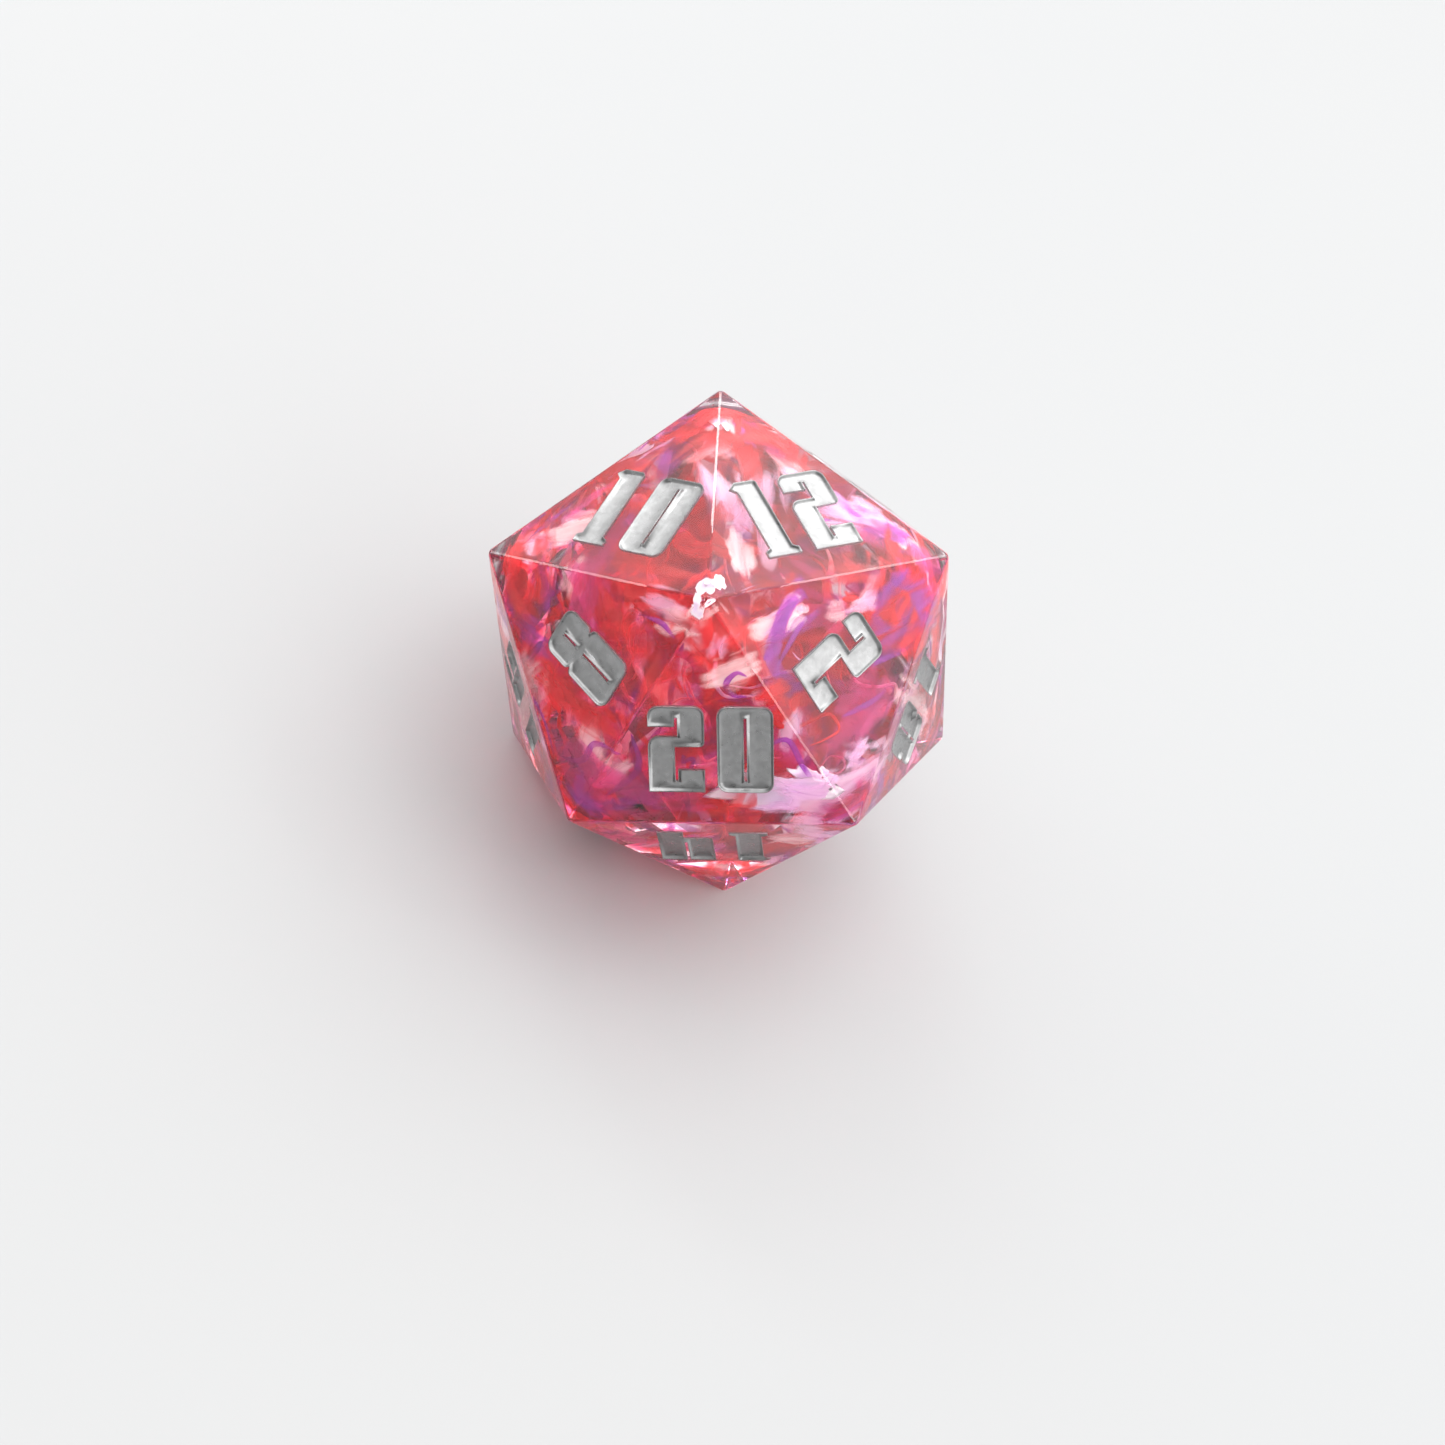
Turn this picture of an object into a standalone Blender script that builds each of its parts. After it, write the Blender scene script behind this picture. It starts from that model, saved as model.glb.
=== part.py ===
"""A large twenty-sided die: a clear resin casting whose recessed numerals are filled with paint.

The die lies on its 9 with the 12 on top, and the corner that the 20, 8, 10, 12 and 2 share
points towards -Y. The origin is the centre of the face that it lies on, and +Z is up.
Opposite faces add up to 21.
"""

import math

import bmesh
import bpy
from mathutils import Matrix, Vector

# Driving dimensions, in metres
FACE_TO_FACE = 0.055  # between any two opposite faces
EDGE_RADIUS = 0.0008  # polished rounding of every edge
EDGE_SEGMENTS = 4

DIGIT_WIDTH = 0.0067
DIGIT_HEIGHT = 0.0118
DIGIT_GAP = 0.0019  # between the two digits of a number
ONE_MARGIN = 0.0006  # further clear space on both sides of a 1
SLIT = 0.0007  # the narrow counters of the digits
RECESS_DEPTH = 0.0008
PAINT_THICKNESS = 0.0003
PAINT_GAP = 0.0003  # between the paint and the resin around and under it

# Proportions of the digits, drawn with x from 0 to DIGIT_WIDTH and y from 0 to DIGIT_HEIGHT
COLUMN = (DIGIT_WIDTH - SLIT) / 2  # width of an upright stroke
SLIT_END = 0.0012  # from the top or bottom of a digit to the end of its slit
FOOT = 0.24 * DIGIT_HEIGHT  # height of the foot of the 2 and of the flag of the 5
HOOK = 0.21 * DIGIT_HEIGHT  # height of the hooks of the 2, 3, 5, 6, 7 and 9
LOBE = 0.6 * DIGIT_HEIGHT  # height of the closed lobe of the 6 and 9
WAIST = 0.62 * DIGIT_HEIGHT  # height of the waist of the 3 and 8
NOTCH = 0.0005  # depth and half height of the notches in a waist
SERIF = 0.0008  # how far the serifs of the 1 stand out
SERIF_HEIGHT = 0.0007
CROSSBAR = (0.21 * DIGIT_HEIGHT, 0.34 * DIGIT_HEIGHT)  # bottom and top of the bar of the 4
SEVEN_STEM = 0.2 * DIGIT_WIDTH  # left side of the stem of the 7
UNDERLINE_HEIGHT = 0.0009
UNDERLINE_DROP = 0.0010  # from a 6 or 9 down to its underline
ROUND = 0.0012  # outer corners of a digit
SOFT = 0.0005  # lesser corners of a digit
ARC_SEGMENTS = 5

GOLDEN = (1 + math.sqrt(5)) / 2
EDGE_LENGTH = FACE_TO_FACE * math.sqrt(3) / GOLDEN**2
CORNER_RADIUS = EDGE_LENGTH * math.sqrt(GOLDEN * math.sqrt(5)) / 2  # centre to a sharp corner

# Corners: a is the front one and z the back one. b0 to b4 ring a, and y0 to y4 ring z, both
# clockwise from the top as seen from the front.
# Each number is on the face with these three corners, and its top points at the first one.
FACES = {
    1: ("z", "y4", "y0"),
    2: ("b1", "a", "b2"),
    3: ("b4", "y3", "y4"),
    4: ("b2", "y1", "y2"),
    5: ("b1", "y0", "y1"),
    6: ("b3", "y2", "y3"),
    7: ("b0", "y4", "y0"),
    8: ("b4", "b3", "a"),
    9: ("y2", "z", "y3"),
    10: ("b0", "a", "b4"),
    11: ("y2", "z", "y1"),
    12: ("b0", "a", "b1"),
    13: ("y1", "z", "y0"),
    14: ("y2", "b2", "b3"),
    15: ("y0", "b0", "b1"),
    16: ("y3", "b4", "b3"),
    17: ("y4", "b0", "b4"),
    18: ("y1", "b1", "b2"),
    19: ("y3", "z", "y4"),
    20: ("a", "b2", "b3"),
}
TOP_FACE = 12
FRONT_CORNER = "a"
UNDERLINED = (6, 9)

RESIN_COLOUR = (0.78, 0.12, 0.20, 1.0)
SILVER_COLOUR = (0.58, 0.59, 0.60, 1.0)


def clear_scene():
    for thing in list(bpy.data.objects):
        bpy.data.objects.remove(thing)


def material(name, colour, roughness, metallic=0.0, transmission=0.0):
    made = bpy.data.materials.new(name)
    made.use_nodes = True
    shader = made.node_tree.nodes["Principled BSDF"]
    shader.inputs["Base Color"].default_value = colour
    shader.inputs["Roughness"].default_value = roughness
    shader.inputs["Metallic"].default_value = metallic
    shader.inputs["Transmission Weight"].default_value = transmission
    made.diffuse_color = colour
    return made


def add_object(name, mesh, surface=None, place=None):
    """A new object in the scene, with its material and its place in the world."""
    made = bpy.data.objects.new(name, mesh)
    bpy.context.scene.collection.objects.link(made)
    if surface and surface.name not in mesh.materials:
        mesh.materials.append(surface)
    if place:
        made.matrix_world = place
    return made


# The icosahedron


def corner_places():
    """Corner name to its place about the die's centre, with the top face level."""
    ring_radius = CORNER_RADIUS * 2 / math.sqrt(5)
    ring_depth = CORNER_RADIUS / math.sqrt(5)
    places = {"a": Vector((0, -CORNER_RADIUS, 0)), "z": Vector((0, CORNER_RADIUS, 0))}
    for step in range(5):
        for name, depth, turn in (("b", -ring_depth, 0), ("y", ring_depth, math.pi / 5)):
            angle = step * 2 * math.pi / 5 + turn
            across = ring_radius * math.sin(angle)
            places[f"{name}{step}"] = Vector((across, depth, ring_radius * math.cos(angle)))
    up = sum((places[name] for name in FACES[TOP_FACE]), Vector()).normalized()
    front = places[FRONT_CORNER] - places[FRONT_CORNER].project(up)
    side = front.normalized().cross(up)
    level = Matrix((-side, -front.normalized(), up))
    return {name: level @ place for name, place in places.items()}


def face_frame(number, corners):
    """The frame of a face: its centre, X to the right of its numeral, Y to the numeral's top."""
    top, left, right = (corners[name] for name in FACES[number])
    centre = (top + left + right) / 3
    outward = centre.normalized()
    upward = (top - centre).normalized()
    axes = Matrix((upward.cross(outward), upward, outward)).transposed().to_4x4()
    return Matrix.Translation(centre) @ axes


def casting_mesh(corners):
    """The icosahedron with its edges and corners rounded: the hull of a small ball in each corner."""
    outward = {number: face_frame(number, corners).col[2].to_3d() for number in FACES}
    ball_place = 1 - EDGE_RADIUS / (FACE_TO_FACE / 2)  # from the die's centre to a corner
    shape = bmesh.new()
    for name, corner in corners.items():
        directions = [corner.normalized()]
        around = [number for number in FACES if name in FACES[number]]
        for number in around:
            directions.append(outward[number])
            for other in around:
                if other > number and len(set(FACES[number]) & set(FACES[other])) == 2:
                    for step in range(1, EDGE_SEGMENTS):
                        share = step / EDGE_SEGMENTS
                        directions.append(outward[number].slerp(outward[other], share))
        for direction in directions:
            shape.verts.new(corner * ball_place + direction * EDGE_RADIUS)
    bmesh.ops.convex_hull(shape, input=shape.verts)
    bmesh.ops.recalc_face_normals(shape, faces=shape.faces)
    mesh = bpy.data.meshes.new("resin_body")
    shape.to_mesh(mesh)
    shape.free()
    return mesh


# The digits: each is an outline and its holes, both anticlockwise, as (x, y) or (x, y, radius)


def bar(left, bottom, right, top, radius=0.0):
    return [
        (left, bottom, radius),
        (right, bottom, radius),
        (right, top, radius),
        (left, top, radius),
    ]


def slit(bottom, top):
    return bar(COLUMN, bottom, COLUMN + SLIT, top)


def zero():
    outline = bar(0, 0, DIGIT_WIDTH, DIGIT_HEIGHT, ROUND)
    return outline, [slit(SLIT_END, DIGIT_HEIGHT - SLIT_END)]


def one():
    left = ONE_MARGIN + SERIF
    right = left + COLUMN
    outline = [
        (left - SERIF, 0),
        (right + SERIF, 0),
        (right + SERIF, SERIF_HEIGHT),
        (right, SERIF_HEIGHT + SERIF / 2),
        (right, DIGIT_HEIGHT, SERIF_HEIGHT / 2),
        (left, DIGIT_HEIGHT),
        (left - SERIF, DIGIT_HEIGHT - SERIF_HEIGHT),
        (left, DIGIT_HEIGHT - 2 * SERIF_HEIGHT),
        (left, SERIF_HEIGHT + SERIF / 2),
        (left - SERIF, SERIF_HEIGHT),
    ]
    return outline, []


def two():
    shoulder = 0.64 * DIGIT_HEIGHT  # top of the lower left stroke
    elbow = 0.55 * DIGIT_HEIGHT  # bottom of the upper right stroke
    outline = [
        (0, 0),
        (DIGIT_WIDTH, 0),
        (DIGIT_WIDTH, FOOT),
        (COLUMN + SLIT, FOOT),
        (COLUMN + SLIT, SLIT_END),
        (COLUMN, SLIT_END),
        (COLUMN, elbow),
        (DIGIT_WIDTH, elbow, SOFT),
        (DIGIT_WIDTH, DIGIT_HEIGHT, ROUND),
        (0, DIGIT_HEIGHT, ROUND),
        (0, DIGIT_HEIGHT - HOOK),
        (COLUMN, DIGIT_HEIGHT - HOOK),
        (COLUMN, DIGIT_HEIGHT - SLIT_END),
        (COLUMN + SLIT, DIGIT_HEIGHT - SLIT_END),
        (COLUMN + SLIT, shoulder),
        (0, shoulder, ROUND),
    ]
    return outline, []


def three():
    middle = DIGIT_HEIGHT - WAIST + HOOK / 2
    reach = COLUMN / 2  # left end of the middle bar
    half_bar = SLIT_END / 2
    outline = [
        (0, 0, ROUND),
        (DIGIT_WIDTH, 0, ROUND),
        (DIGIT_WIDTH, middle - NOTCH),
        (DIGIT_WIDTH - NOTCH, middle),
        (DIGIT_WIDTH, middle + NOTCH),
        (DIGIT_WIDTH, DIGIT_HEIGHT, ROUND),
        (0, DIGIT_HEIGHT, ROUND),
        (0, DIGIT_HEIGHT - HOOK),
        (COLUMN, DIGIT_HEIGHT - HOOK),
        (COLUMN, DIGIT_HEIGHT - SLIT_END),
        (COLUMN + SLIT, DIGIT_HEIGHT - SLIT_END),
        (COLUMN + SLIT, middle + half_bar),
        (reach, middle + half_bar),
        (reach, middle - half_bar),
        (COLUMN + SLIT, middle - half_bar),
        (COLUMN + SLIT, SLIT_END),
        (COLUMN, SLIT_END),
        (COLUMN, HOOK),
        (0, HOOK),
    ]
    return outline, []


def four():
    low, high = CROSSBAR
    outline = [
        (COLUMN + SLIT, 0),
        (DIGIT_WIDTH, 0),
        (DIGIT_WIDTH, DIGIT_HEIGHT),
        (COLUMN + SLIT, DIGIT_HEIGHT),
        (COLUMN + SLIT, high),
        (COLUMN, high),
        (COLUMN, DIGIT_HEIGHT),
        (0, DIGIT_HEIGHT),
        (0, low),
        (COLUMN + SLIT, low),
    ]
    return outline, []


def five():
    """The 2 turned upside down and back to front, with a square top."""
    outline, _ = two()
    turned = [(x, DIGIT_HEIGHT - y, *radius) for x, y, *radius in reversed(outline)]
    return turned, []


def six():
    outline = [
        (0, 0, ROUND),
        (DIGIT_WIDTH, 0, ROUND),
        (DIGIT_WIDTH, LOBE, ROUND),
        (COLUMN, LOBE),
        (COLUMN, DIGIT_HEIGHT - SLIT_END),
        (COLUMN + SLIT, DIGIT_HEIGHT - SLIT_END),
        (COLUMN + SLIT, DIGIT_HEIGHT - HOOK),
        (DIGIT_WIDTH, DIGIT_HEIGHT - HOOK),
        (DIGIT_WIDTH, DIGIT_HEIGHT, ROUND),
        (0, DIGIT_HEIGHT, ROUND),
    ]
    return outline, [slit(SLIT_END, LOBE - SLIT_END)]


def seven():
    right = SEVEN_STEM + COLUMN
    bend = 0.4 * DIGIT_HEIGHT  # where the stem starts to lean to the right
    outline = [
        (SEVEN_STEM, 0),
        (right, 0),
        (right, bend),
        (DIGIT_WIDTH, LOBE, SOFT),
        (DIGIT_WIDTH, DIGIT_HEIGHT, SOFT),
        (0, DIGIT_HEIGHT),
        (0, DIGIT_HEIGHT - HOOK),
        (COLUMN + SLIT, DIGIT_HEIGHT - HOOK),
        (COLUMN + SLIT, LOBE),
        (SEVEN_STEM, bend),
    ]
    return outline, []


def eight():
    top_inset = NOTCH / 2  # the upper lobe is a little narrower than the lower one
    outline = [
        (0, 0, ROUND),
        (DIGIT_WIDTH, 0, ROUND),
        (DIGIT_WIDTH, WAIST - NOTCH, SOFT),
        (DIGIT_WIDTH - 2 * NOTCH, WAIST),
        (DIGIT_WIDTH - top_inset, WAIST + NOTCH, SOFT),
        (DIGIT_WIDTH - top_inset, DIGIT_HEIGHT, ROUND),
        (top_inset, DIGIT_HEIGHT, ROUND),
        (top_inset, WAIST + NOTCH, SOFT),
        (2 * NOTCH, WAIST),
        (0, WAIST - NOTCH, SOFT),
    ]
    half_bar = SLIT_END / 2
    slits = [slit(SLIT_END, WAIST - half_bar), slit(WAIST + half_bar, DIGIT_HEIGHT - SLIT_END)]
    return outline, slits


def nine():
    """The 6 turned through half a turn."""
    outline, holes = six()
    turned = [
        [(DIGIT_WIDTH - x, DIGIT_HEIGHT - y, *radius) for x, y, *radius in loop]
        for loop in (outline, *holes)
    ]
    return turned[0], turned[1:]


def underline():
    drop = -UNDERLINE_DROP - UNDERLINE_HEIGHT
    return bar(0, drop, DIGIT_WIDTH, -UNDERLINE_DROP), []


DIGITS = {
    "0": zero,
    "1": one,
    "2": two,
    "3": three,
    "4": four,
    "5": five,
    "6": six,
    "7": seven,
    "8": eight,
    "9": nine,
    "_": underline,
}


def digit_width(digit):
    """The width that a digit takes up, with the margins of a 1."""
    across = [point[0] for point in DIGITS[digit]()[0]]
    return max(across) + min(across)


def rounded(corners):
    """An outline's points, with an arc at each corner that has a radius."""
    points = []
    for index, (x, y, *radius) in enumerate(corners):
        here = Vector((x, y))
        if not radius or not radius[0]:
            points.append(here)
            continue
        before = (Vector(corners[index - 1][:2]) - here).normalized()
        after = (Vector(corners[(index + 1) % len(corners)][:2]) - here).normalized()
        half_angle = before.angle(after) / 2
        centre = here + (before + after).normalized() * radius[0] / math.sin(half_angle)
        start = here + before * radius[0] / math.tan(half_angle) - centre
        sweep = math.pi - 2 * half_angle
        way = 1 if before.cross(after) < 0 else -1
        for step in range(ARC_SEGMENTS + 1):
            turn = Matrix.Rotation(way * sweep * step / ARC_SEGMENTS, 2)
            points.append(centre + turn @ start)
    return points


def widened(points, distance):
    """An anticlockwise outline with every side moved outwards by a distance."""
    moved = []
    for index, here in enumerate(points):
        before = (here - points[index - 1]).normalized()
        after = (points[(index + 1) % len(points)] - here).normalized()
        mitre = Vector((before.y + after.y, -before.x - after.x)).normalized()
        moved.append(here + mitre * distance / mitre.dot(Vector((after.y, -after.x))))
    return moved


def digit_prism(digit, growth, bottom, top):
    """A closed digit-shaped bar from bottom to top, its strokes wider by growth on each side."""
    outline, holes = DIGITS[digit]()
    loops = [widened(rounded(outline), growth)]
    loops += [widened(rounded(hole), -growth) for hole in holes]
    shape = bmesh.new()
    for loop in loops:
        points = [shape.verts.new((point.x, point.y, bottom)) for point in loop]
        for index, point in enumerate(points):
            shape.edges.new((points[index - 1], point))
    bmesh.ops.triangle_fill(shape, edges=shape.edges[:], use_beauty=True)
    extruded = bmesh.ops.extrude_face_region(shape, geom=shape.faces[:])
    raised = [part for part in extruded["geom"] if isinstance(part, bmesh.types.BMVert)]
    bmesh.ops.translate(shape, verts=raised, vec=(0, 0, top - bottom))
    bmesh.ops.recalc_face_normals(shape, faces=shape.faces)
    return shape


def digit_mesh(digit):
    shape = digit_prism(
        digit,
        -PAINT_GAP / 2,
        PAINT_GAP - RECESS_DEPTH,
        PAINT_GAP - RECESS_DEPTH + PAINT_THICKNESS,
    )
    mesh = bpy.data.meshes.new(f"digit_{digit}")
    shape.to_mesh(mesh)
    shape.free()
    return mesh


def numeral_layout(number):
    """(node name, digit, its shift across and up the face) for each piece of a number's paint."""
    digits = str(number)
    total = sum(digit_width(digit) for digit in digits) + DIGIT_GAP * (len(digits) - 1)
    across = -total / 2
    up = -DIGIT_HEIGHT / 2
    places = ("tens", "units") if len(digits) == 2 else ("",)
    pieces = []
    for place, digit in zip(places, digits):
        pieces.append((f"paint_{number}_{place}".rstrip("_"), digit, across, up))
        across += digit_width(digit) + DIGIT_GAP
    if number in UNDERLINED:
        pieces.append((f"paint_{number}_underline", "_", -DIGIT_WIDTH / 2, up))
    return pieces


def add_recess_cutter(frames):
    """One hidden mesh that holds the recess of every digit, as separate bars."""
    cutter = bmesh.new()
    for number, frame in frames.items():
        for _, digit, across, up in numeral_layout(number):
            recess = digit_prism(digit, PAINT_GAP / 2, -RECESS_DEPTH, RECESS_DEPTH)
            recess.transform(frame @ Matrix.Translation((across, up, 0)))
            spare = bpy.data.meshes.new("recess")
            recess.to_mesh(spare)
            recess.free()
            cutter.from_mesh(spare)
            bpy.data.meshes.remove(spare)
    mesh = bpy.data.meshes.new("recess_cutter")
    cutter.to_mesh(mesh)
    cutter.free()
    made = add_object("recess_cutter", mesh)
    made.hide_render = True
    made.display_type = "WIRE"
    return made


def build():
    clear_scene()
    resin = material("clear_resin", RESIN_COLOUR, 0.05, transmission=0.8)
    silver = material("silver_paint", SILVER_COLOUR, 0.35, metallic=1.0)
    corners = corner_places()
    lift = Matrix.Translation((0, 0, FACE_TO_FACE / 2))
    frames = {number: lift @ face_frame(number, corners) for number in FACES}

    body_mesh = casting_mesh(corners)
    body_mesh.transform(lift)
    body = add_object("resin_body", body_mesh, resin)
    recesses = body.modifiers.new("recesses", "BOOLEAN")
    recesses.operation = "DIFFERENCE"
    recesses.solver = "EXACT"
    recesses.object = add_recess_cutter(frames)

    meshes = {digit: digit_mesh(digit) for digit in DIGITS}
    for number, frame in frames.items():
        for name, digit, across, up in numeral_layout(number):
            place = frame @ Matrix.Translation((across, up, 0))
            add_object(name, meshes[digit], silver, place)


build()
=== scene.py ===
"""A twenty-sided resin die: clear casting, ink swirls and film inside it, silver paint in its numerals."""

import math
import random

import bmesh
import bpy
from mathutils import Matrix, Vector, geometry, noise


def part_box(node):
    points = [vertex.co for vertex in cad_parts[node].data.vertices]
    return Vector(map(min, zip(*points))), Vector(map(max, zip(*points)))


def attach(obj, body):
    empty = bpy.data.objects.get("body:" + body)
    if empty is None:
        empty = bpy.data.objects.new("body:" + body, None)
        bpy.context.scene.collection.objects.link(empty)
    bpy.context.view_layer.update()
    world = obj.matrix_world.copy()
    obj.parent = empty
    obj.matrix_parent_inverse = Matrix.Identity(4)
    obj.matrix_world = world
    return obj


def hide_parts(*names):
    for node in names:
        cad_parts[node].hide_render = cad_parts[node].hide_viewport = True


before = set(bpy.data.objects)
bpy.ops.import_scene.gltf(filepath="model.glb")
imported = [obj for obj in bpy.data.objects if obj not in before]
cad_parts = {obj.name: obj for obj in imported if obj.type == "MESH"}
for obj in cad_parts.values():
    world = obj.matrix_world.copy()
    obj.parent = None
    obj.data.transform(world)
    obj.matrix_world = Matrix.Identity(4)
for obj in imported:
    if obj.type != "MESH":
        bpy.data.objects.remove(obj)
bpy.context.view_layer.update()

MM = 0.001
BODY = "root"
SEED = 20

# The die's own geometry, from the casting's box
FACE_TO_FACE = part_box("resin_body")[1].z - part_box("resin_body")[0].z
INRADIUS = FACE_TO_FACE / 2
CENTRE = Vector((0, 0, INRADIUS))
GOLDEN = (1 + math.sqrt(5)) / 2
EDGE_LENGTH = FACE_TO_FACE * math.sqrt(3) / GOLDEN**2
CORNER_RADIUS = EDGE_LENGTH * math.sqrt(GOLDEN * math.sqrt(5)) / 2
INK_DEPTH = 1.3 * MM  # nothing inside the resin comes closer to a face than this
INK_SQUEEZE = 0.8  # share of the way out from which the ink is pressed together

# Corners: a is the front one and z the back one, and b and y ring them, clockwise from the front.
# Each number is on the face with these corners, and its top points at the first one.
FACES = {
    1: ("z", "y4", "y0"),
    2: ("b1", "a", "b2"),
    3: ("b4", "y3", "y4"),
    4: ("b2", "y1", "y2"),
    5: ("b1", "y0", "y1"),
    6: ("b3", "y2", "y3"),
    7: ("b0", "y4", "y0"),
    8: ("b4", "b3", "a"),
    9: ("y2", "z", "y3"),
    10: ("b0", "a", "b4"),
    11: ("y2", "z", "y1"),
    12: ("b0", "a", "b1"),
    13: ("y1", "z", "y0"),
    14: ("y2", "b2", "b3"),
    15: ("y0", "b0", "b1"),
    16: ("y3", "b4", "b3"),
    17: ("y4", "b0", "b4"),
    18: ("y1", "b1", "b2"),
    19: ("y3", "z", "y4"),
    20: ("a", "b2", "b3"),
}


def corner_places():
    """Corner name to its place about the die's centre, with the 12 on top and corner a towards -Y."""
    ring_radius = CORNER_RADIUS * 2 / math.sqrt(5)
    ring_depth = CORNER_RADIUS / math.sqrt(5)
    places = {"a": Vector((0, -CORNER_RADIUS, 0)), "z": Vector((0, CORNER_RADIUS, 0))}
    for step in range(5):
        for name, depth, turn in (("b", -ring_depth, 0), ("y", ring_depth, math.pi / 5)):
            angle = step * 2 * math.pi / 5 + turn
            across = ring_radius * math.sin(angle)
            places[f"{name}{step}"] = Vector((across, depth, ring_radius * math.cos(angle)))
    up = sum((places[name] for name in FACES[12]), Vector()).normalized()
    front = places["a"] - places["a"].project(up)
    level = Matrix((-front.normalized().cross(up), -front.normalized(), up))
    return {name: level @ place for name, place in places.items()}


CORNERS = corner_places()


def face_frame(number):
    """A face's frame about the die's centre: X to the right of its numeral, Y to the numeral's top."""
    top, left, right = (CORNERS[name] for name in FACES[number])
    centre = (top + left + right) / 3
    outward = centre.normalized()
    upward = (top - centre).normalized()
    axes = Matrix((upward.cross(outward), upward, outward)).transposed().to_4x4()
    return Matrix.Translation(centre) @ axes


FACE_FRAMES = {number: face_frame(number) for number in FACES}
OUTWARD = [place.col[2].to_3d() for place in FACE_FRAMES.values()]


def keep_inside(point):
    """A point about the die's centre, pressed inwards where it comes near a face."""
    limit = INRADIUS - INK_DEPTH
    share = max(point.dot(outward) for outward in OUTWARD) / limit
    if share <= INK_SQUEEZE:
        return point
    room = 1 - INK_SQUEEZE
    return point * ((INK_SQUEEZE + room * math.tanh((share - INK_SQUEEZE) / room)) / share)


# Materials


def material(name):
    """A new material, its node tree and its Principled shader."""
    made = bpy.data.materials.new(name)
    made.use_nodes = True
    return made, made.node_tree, made.node_tree.nodes["Principled BSDF"]


def node(tree, kind, settings=(), **inputs):
    """A node with its settings and its inputs, which take a value or a socket.

    An input's name has _ in place of a space.
    """
    made = tree.nodes.new("ShaderNode" + kind)
    for key, value in dict(settings).items():
        setattr(made, key, value)
    for key, value in inputs.items():
        socket = made.inputs[key.replace("_", " ")]
        if isinstance(value, bpy.types.NodeSocket):
            tree.links.new(value, socket)
        else:
            socket.default_value = value
    return made


def noise_of(tree, scale, detail, distortion=0.0):
    """The value of a noise that is fixed in the object's own space."""
    space = node(tree, "TexCoord").outputs["Object"]
    made = node(tree, "TexNoise", Vector=space, Scale=scale, Detail=detail, Distortion=distortion)
    return made.outputs["Fac"]


def streaks_of(tree, scale, stretch, detail):
    """The value of a noise that follows a swirl's flow and is stretch times longer along it."""
    flow = node(tree, "Attribute", {"attribute_name": "flow"}).outputs["Vector"]
    drawn = node(tree, "Mapping", Vector=flow, Scale=(1 / stretch, 1, 1)).outputs["Vector"]
    made = node(tree, "TexNoise", Vector=drawn, Scale=scale, Detail=detail, Distortion=0.8)
    return made.outputs["Fac"]


def ranged(tree, value, low, high, to_low=0.0, to_high=1.0):
    """A value moved smoothly from one range to another, and held at its ends."""
    made = node(tree, "MapRange", {"interpolation_type": "SMOOTHSTEP"}, Value=value)
    made.inputs["From Min"].default_value = low
    made.inputs["From Max"].default_value = high
    made.inputs["To Min"].default_value = to_low
    made.inputs["To Max"].default_value = to_high
    return made.outputs["Result"]


def tones(tree, value, stops):
    """A colour ramp through (position, colour) stops."""
    ramp = node(tree, "ValToRGB", Fac=value)
    elements = ramp.color_ramp.elements
    while len(elements) < len(stops):
        elements.new(0.5)
    for element, (position, colour) in zip(elements, stops):
        element.position = position
        element.color = (*colour, 1)
    return ramp.outputs["Color"]


def math_of(tree, operation, first, second):
    """A sum, product or the like of two values or sockets."""
    made = node(tree, "Math", {"operation": operation})
    for socket, value in zip(made.inputs, (first, second)):
        if isinstance(value, bpy.types.NodeSocket):
            tree.links.new(value, socket)
        else:
            socket.default_value = value
    return made.outputs["Value"]


RESIN_TINT = (0.86, 0.34, 0.48, 1)
RESIN_DENSITY = 17  # how strongly a metre of resin tints the light


def clear_resin():
    """Polished clear resin, tinted pink right through, with the slight waviness of a cast face."""
    made, tree, shader = material("clear_resin")
    shader.inputs["Base Color"].default_value = (1, 1, 1, 1)
    shader.inputs["Roughness"].default_value = 0.01
    shader.inputs["IOR"].default_value = 1.5
    shader.inputs["Transmission Weight"].default_value = 1
    wave = node(tree, "Bump", Strength=0.05, Distance=0.0004, Height=noise_of(tree, 90, 1))
    tree.links.new(wave.outputs["Normal"], shader.inputs["Normal"])
    lit_through = node(tree, "BsdfTransparent", Color=(1, 0.93, 0.95, 1))
    shadow = node(tree, "LightPath").outputs["Is Shadow Ray"]
    mix = node(tree, "MixShader", Fac=shadow)
    tree.links.new(shader.outputs["BSDF"], mix.inputs[1])
    tree.links.new(lit_through.outputs["BSDF"], mix.inputs[2])
    tint = node(tree, "VolumeAbsorption", Color=RESIN_TINT, Density=RESIN_DENSITY)
    output = tree.nodes["Material Output"]
    tree.links.new(mix.outputs["Shader"], output.inputs["Surface"])
    tree.links.new(tint.outputs["Volume"], output.inputs["Volume"])
    return made


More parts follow.
